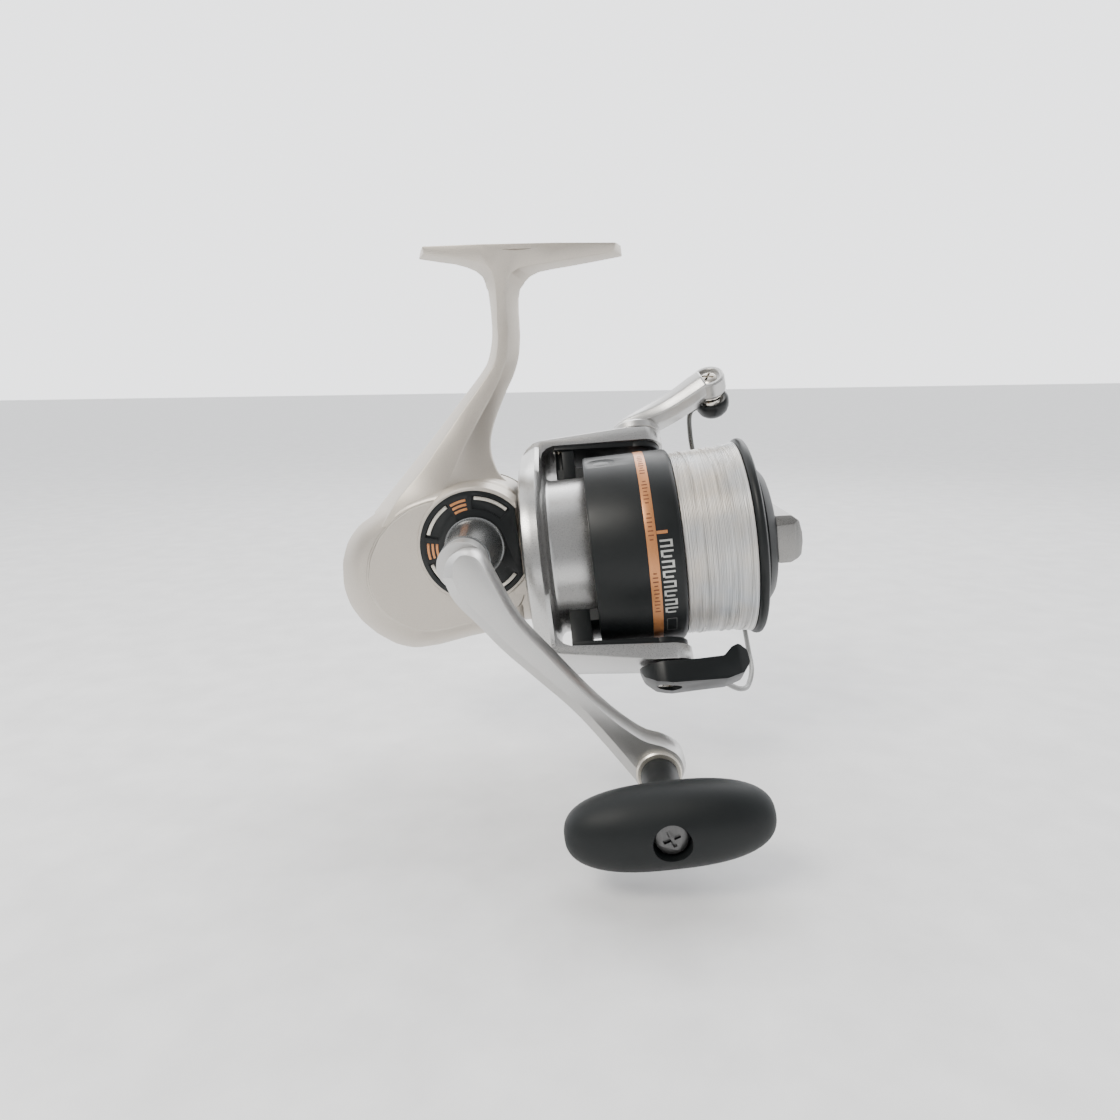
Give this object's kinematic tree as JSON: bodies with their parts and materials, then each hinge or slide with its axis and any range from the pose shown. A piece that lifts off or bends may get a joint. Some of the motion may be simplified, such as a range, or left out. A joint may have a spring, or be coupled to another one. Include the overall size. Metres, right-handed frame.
{
  "type": "spinning reel",
  "caption": "Front-drag spinning reel with a levelled rod foot, crank handle with a T-shaped knob, turning rotor with a folding wire bail, and a filled spool on a sliding shaft.",
  "frame": {"origin": "centre of the flat seat on top of the rod foot", "axes": "+X forward along the rod towards the spool's front, +Z out of the seat into the rod, handle on the -Y side; the spool axis rises 6 degrees towards the front"},
  "size_m": [0.1511, 0.1471, 0.1631],
  "materials": {
    "body_silver": "satin metallic paint",
    "rotor_silver": "satin metallic paint",
    "arm_silver": "satin metallic paint",
    "pale_silver": "satin",
    "orange_paint": "copper-orange metallic",
    "gunmetal": "semi-gloss",
    "black_plastic": "fine grain",
    "skirt_black": "satin black",
    "grip_black": "moulded, matte",
    "clear_line": "wound nylon line",
    "bright_screw": "plated",
    "chrome_roller": "polished",
    "wire_steel": "drawn",
    "plain_steel": "turned",
    "dark_steel": "blackened",
    "bearing_steel": "ground",
    "zinc_gear": "die cast",
    "brass_gear": "machined",
    "white_nylon": "moulded",
    "felt": "pressed felt",
    "knob_metal": "satin"
  },
  "bodies": {
    "frame": {"body_housing": "body_silver", "side_cover": "body_silver", "side_cover_screws": "dark_steel", "hub_trim_plate": "black_plastic", "trim_silver_arcs": "pale_silver", "trim_orange_bars": "orange_paint", "drive_bearing_left": "bearing_steel", "drive_bearing_right": "bearing_steel", "pinion_bearing": "bearing_steel", "one_way_clutch": "bearing_steel", "bearing_retainer": "plain_steel", "retainer_screws": "dark_steel", "slider_guide_rail": "plain_steel", "oscillation_post": "plain_steel"},
    "handle": {"drive_gear": "zinc_gear", "oscillation_drive_gear": "zinc_gear", "handle_shaft": "plain_steel", "handle_sleeve": "gunmetal", "handle_arm": "arm_silver", "handle_screw_cap": "gunmetal", "knob_pin": "plain_steel", "knob_base_ring": "pale_silver", "knob_screw": "dark_steel"},
    "handle_knob": {"knob_grip": "grip_black"},
    "oscillator": {"oscillation_gear": "white_nylon"},
    "rotor": {"rotor": "rotor_silver", "pinion_gear": "brass_gear", "clutch_sleeve": "bearing_steel", "rotor_nut": "brass_gear", "rotor_nut_lock": "plain_steel", "arm_cover_upper": "black_plastic", "arm_cover_lower": "black_plastic", "arm_cover_screws": "bright_screw", "bail_spring": "plain_steel", "bail_spring_rod": "plain_steel"},
    "bail": {"bail_arm": "arm_silver", "bail_lever": "black_plastic", "bail_wire": "wire_steel", "bail_pivot_screws": "bright_screw", "line_guide_cap": "black_plastic", "roller_screw": "bright_screw", "roller_bush": "white_nylon"},
    "line_roller_body": {"line_roller": "chrome_roller"},
    "spool_shaft": {"main_shaft": "plain_steel", "slider_block": "zinc_gear", "slider_screw": "dark_steel", "spool_support_washer": "white_nylon", "keyed_washer": "plain_steel"},
    "spool": {"spool_body": "skirt_black", "spool_front_rim": "skirt_black", "spool_band": "orange_paint", "fishing_line": "clear_line", "line_clip": "black_plastic", "friction_washers": "felt", "eared_washer": "plain_steel", "drag_clip": "plain_steel"},
    "drag_adjuster": {"drag_knob": "skirt_black", "drag_knob_grip": "knob_metal", "drag_nut": "plain_steel", "drag_spring": "plain_steel"}
  },
  "joints": [
    {"name": "handle_turn", "type": "hinge", "parent": "frame", "child": "handle", "pos_m": [-0.01447, 0, -0.09287], "axis": [0, 1, 0], "continuous": true},
    {"name": "knob_spin", "type": "hinge", "parent": "handle", "child": "handle_knob", "pos_m": [0.04077, -0.08, -0.15152], "axis": [0, 1, 0], "continuous": true},
    {"name": "oscillation_gear_spin", "type": "hinge", "parent": "frame", "child": "oscillator", "pos_m": [-0.03336, 0, -0.10542], "axis": [0, 1, 0], "continuous": true},
    {"name": "rotor_spin", "type": "hinge", "parent": "frame", "child": "rotor", "pos_m": [0.02283, 0, -0.09951], "axis": [0.9945, 0, 0.1045], "continuous": true},
    {"name": "bail_flip", "type": "hinge", "parent": "rotor", "child": "bail", "pos_m": [0.04272, 0, -0.09742], "axis": [0.0877, -0.5446, -0.8341], "range_deg": [0, 110]},
    {"name": "line_roller_spin", "type": "hinge", "parent": "bail", "child": "line_roller_body", "pos_m": [0.06607, 0.0261, -0.04763], "axis": [0.2424, 0.5689, -0.7858], "continuous": true},
    {"name": "spool_stroke", "type": "slide", "parent": "frame", "child": "spool_shaft", "axis": [0.9945, 0, 0.1045], "range_m": [-0.002, 0.0165]},
    {"name": "spool_slip", "type": "hinge", "parent": "spool_shaft", "child": "spool", "pos_m": [0.06261, 0, -0.09533], "axis": [0.9945, 0, 0.1045], "continuous": true},
    {"name": "drag_knob_turn", "type": "hinge", "parent": "spool_shaft", "child": "drag_adjuster", "pos_m": [0.08051, 0, -0.09345], "axis": [0.9945, 0, 0.1045], "range_deg": [-360, 720]}
  ],
  "couplings": [
    {"joint": "rotor_spin", "follows": "handle_turn", "ratio": 4.2},
    {"joint": "oscillation_gear_spin", "follows": "handle_turn", "ratio": -0.66667}
  ]
}
